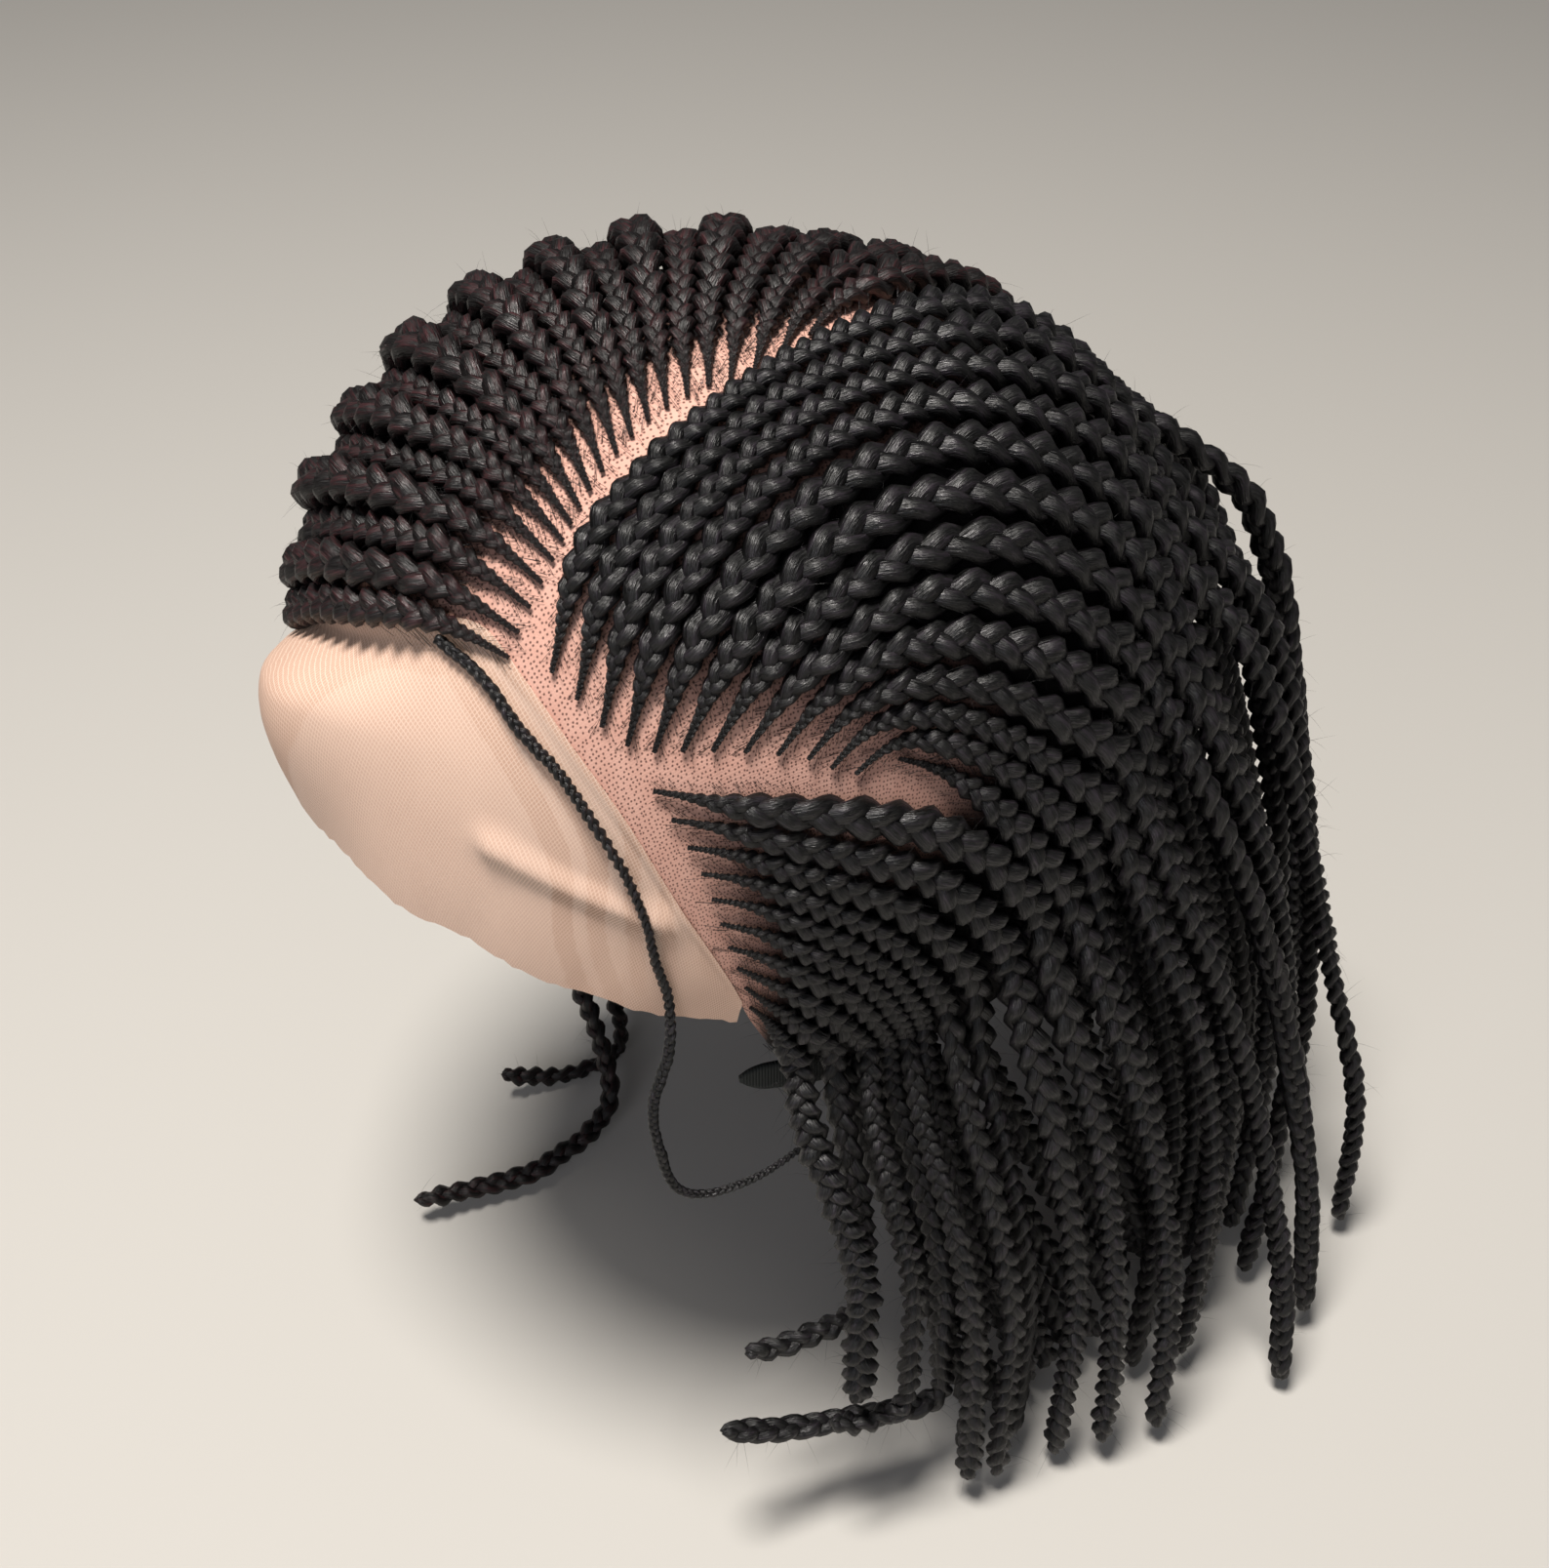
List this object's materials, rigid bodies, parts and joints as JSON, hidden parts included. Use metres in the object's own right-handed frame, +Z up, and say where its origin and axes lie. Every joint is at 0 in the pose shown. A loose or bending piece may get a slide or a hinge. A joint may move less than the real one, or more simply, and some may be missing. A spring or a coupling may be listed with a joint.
{
  "type": "braid wig",
  "caption": "Lace-front wig of fine cornrows from a curved side parting, ending in loose bob-length braids, on an open cap for a head.",
  "frame": {"origin": "where the crown of the wearer's head meets the inside of the cap", "axes": "+Z up along the standing wearer, -Y the way the face looks, +X towards the wearer's left, where the parting is"},
  "size_m": [0.2113, 0.2768, 0.307],
  "materials": {
    "cap_lace": "matte knotted lace in a skin tone, dark net at the back",
    "front_lace": "fine sheer lace in a skin tone, untrimmed",
    "elastic": "dull woven elastic",
    "black_braiding_hair": "semi-gloss synthetic hair, three-strand braids",
    "brown_black_braiding_hair": "semi-gloss synthetic hair, three-strand braids"
  },
  "bodies": {
    "root": {"lace_cap": "cap_lace", "lace_front": "front_lace", "ear_tab": "elastic", "baby_hair_braid": "black_braiding_hair", "crown_braid_01": "brown_black_braiding_hair", "crown_braid_02": "brown_black_braiding_hair", "crown_braid_03": "brown_black_braiding_hair", "crown_braid_04": "brown_black_braiding_hair", "crown_braid_05": "brown_black_braiding_hair", "crown_braid_06": "brown_black_braiding_hair", "crown_braid_07": "brown_black_braiding_hair", "crown_braid_08": "brown_black_braiding_hair", "crown_braid_09": "brown_black_braiding_hair", "crown_braid_10": "brown_black_braiding_hair", "crown_braid_11": "brown_black_braiding_hair", "crown_braid_12": "brown_black_braiding_hair", "crown_braid_13": "brown_black_braiding_hair", "crown_braid_14": "brown_black_braiding_hair", "crown_braid_15": "brown_black_braiding_hair", "crown_braid_16": "brown_black_braiding_hair", "crown_braid_17": "brown_black_braiding_hair", "crown_braid_18": "brown_black_braiding_hair", "crown_braid_19": "brown_black_braiding_hair", "crown_braid_20": "brown_black_braiding_hair", "arc_braid_01": "black_braiding_hair", "arc_braid_02": "black_braiding_hair", "arc_braid_03": "black_braiding_hair", "arc_braid_04": "black_braiding_hair", "arc_braid_05": "black_braiding_hair", "arc_braid_06": "black_braiding_hair", "arc_braid_07": "black_braiding_hair", "arc_braid_08": "black_braiding_hair", "arc_braid_09": "black_braiding_hair", "arc_braid_10": "black_braiding_hair", "arc_braid_11": "black_braiding_hair", "arc_braid_12": "black_braiding_hair", "arc_braid_13": "black_braiding_hair", "side_braid_01": "black_braiding_hair", "side_braid_02": "black_braiding_hair", "side_braid_03": "black_braiding_hair", "side_braid_04": "black_braiding_hair", "side_braid_05": "black_braiding_hair", "side_braid_06": "black_braiding_hair", "side_braid_07": "black_braiding_hair", "side_braid_08": "black_braiding_hair", "side_braid_09": "black_braiding_hair", "side_braid_10": "black_braiding_hair", "nape_lock_01": "black_braiding_hair", "nape_lock_02": "black_braiding_hair", "nape_lock_03": "black_braiding_hair", "nape_lock_04": "black_braiding_hair", "nape_lock_05": "black_braiding_hair", "nape_lock_06": "black_braiding_hair", "nape_lock_07": "black_braiding_hair", "nape_lock_08": "black_braiding_hair", "nape_lock_09": "black_braiding_hair", "nape_lock_10": "black_braiding_hair", "nape_lock_11": "black_braiding_hair", "nape_lock_12": "black_braiding_hair", "nape_lock_13": "black_braiding_hair"}
  },
  "joints": []
}
